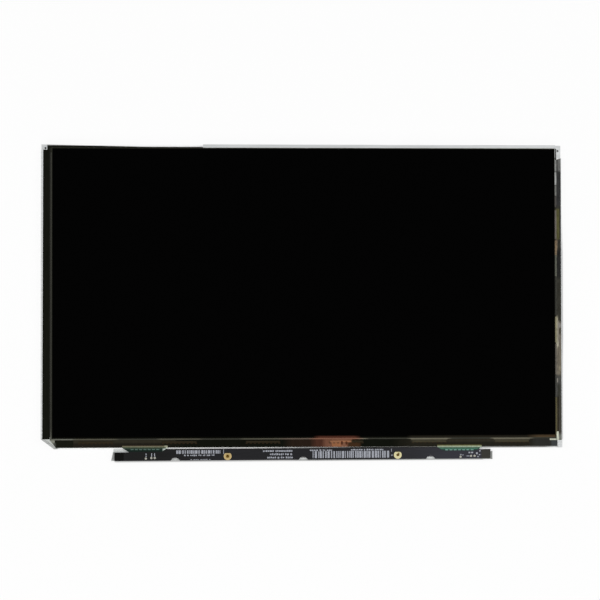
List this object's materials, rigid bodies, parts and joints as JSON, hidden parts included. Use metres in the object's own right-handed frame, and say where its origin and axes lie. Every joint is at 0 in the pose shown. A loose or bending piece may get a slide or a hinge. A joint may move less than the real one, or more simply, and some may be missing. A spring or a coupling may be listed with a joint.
{
  "type": "laptop screen panel",
  "caption": "Slim bare laptop screen panel: black display in a formed metal tray with black rim tape, corner ears, a glass ledge and a narrow control board along the bottom.",
  "frame": {"origin": "middle of the rear cover's outline, on its outer rear face", "axes": "+X to the right and +Y to the top edge of the picture, +Z out of the picture towards the viewer"},
  "size_m": [0.3064, 0.1857, 0.0031],
  "materials": {
    "tray_metal": "satin, rolled sheet",
    "white_moulding": "moulded",
    "reflector": "bright white film",
    "clear_guide": "polished sheet",
    "diffuser_film": "milky film",
    "prism_film": "finely grooved film",
    "polyimide": "amber film",
    "led_body": "white package, yellow window",
    "black_tape": "black tape",
    "polariser_film": "dark film",
    "panel_glass": "coated, dark",
    "chip_black": "moulded package",
    "silicon": "bare die",
    "flex_green": "green cover film",
    "board_black": "black solder mask",
    "gold_plating": "gold plated",
    "pale_film": "pale film",
    "socket_plastic": "ivory moulding",
    "socket_steel": "bright plated",
    "ferrite": "grey shield",
    "label_film": "plain white label",
    "ceramic_tan": "fired body"
  },
  "bodies": {
    "root": {"rear_cover": "tray_metal", "panel_frame": "white_moulding", "reflector_sheet": "reflector", "light_guide": "clear_guide", "lower_diffuser": "diffuser_film", "prism_sheet_lower": "prism_film", "prism_sheet_upper": "prism_film", "upper_diffuser": "diffuser_film", "led_flex": "polyimide", "backlight_leds": "led_body", "rim_tape": "black_tape", "rear_polariser": "polariser_film", "array_glass": "panel_glass", "filter_glass": "panel_glass", "front_polariser": "polariser_film", "source_drivers": "silicon", "left_edge_tape": "black_tape", "right_edge_tape": "black_tape", "top_edge_tape": "black_tape", "flex_left": "flex_green", "flex_right": "flex_green", "control_board": "board_black", "hole_rings": "gold_plating", "board_film": "pale_film", "connector_housing": "socket_plastic", "connector_shell": "socket_steel", "connector_contacts": "gold_plating", "led_connector": "socket_plastic", "timing_controller": "chip_black", "backlight_driver": "chip_black", "power_chips": "chip_black", "memory_chip": "chip_black", "inductors": "ferrite", "capacitors": "ceramic_tan", "resistors": "chip_black", "diodes": "chip_black", "test_pads": "gold_plating", "rear_label": "label_film"}
  },
  "joints": []
}
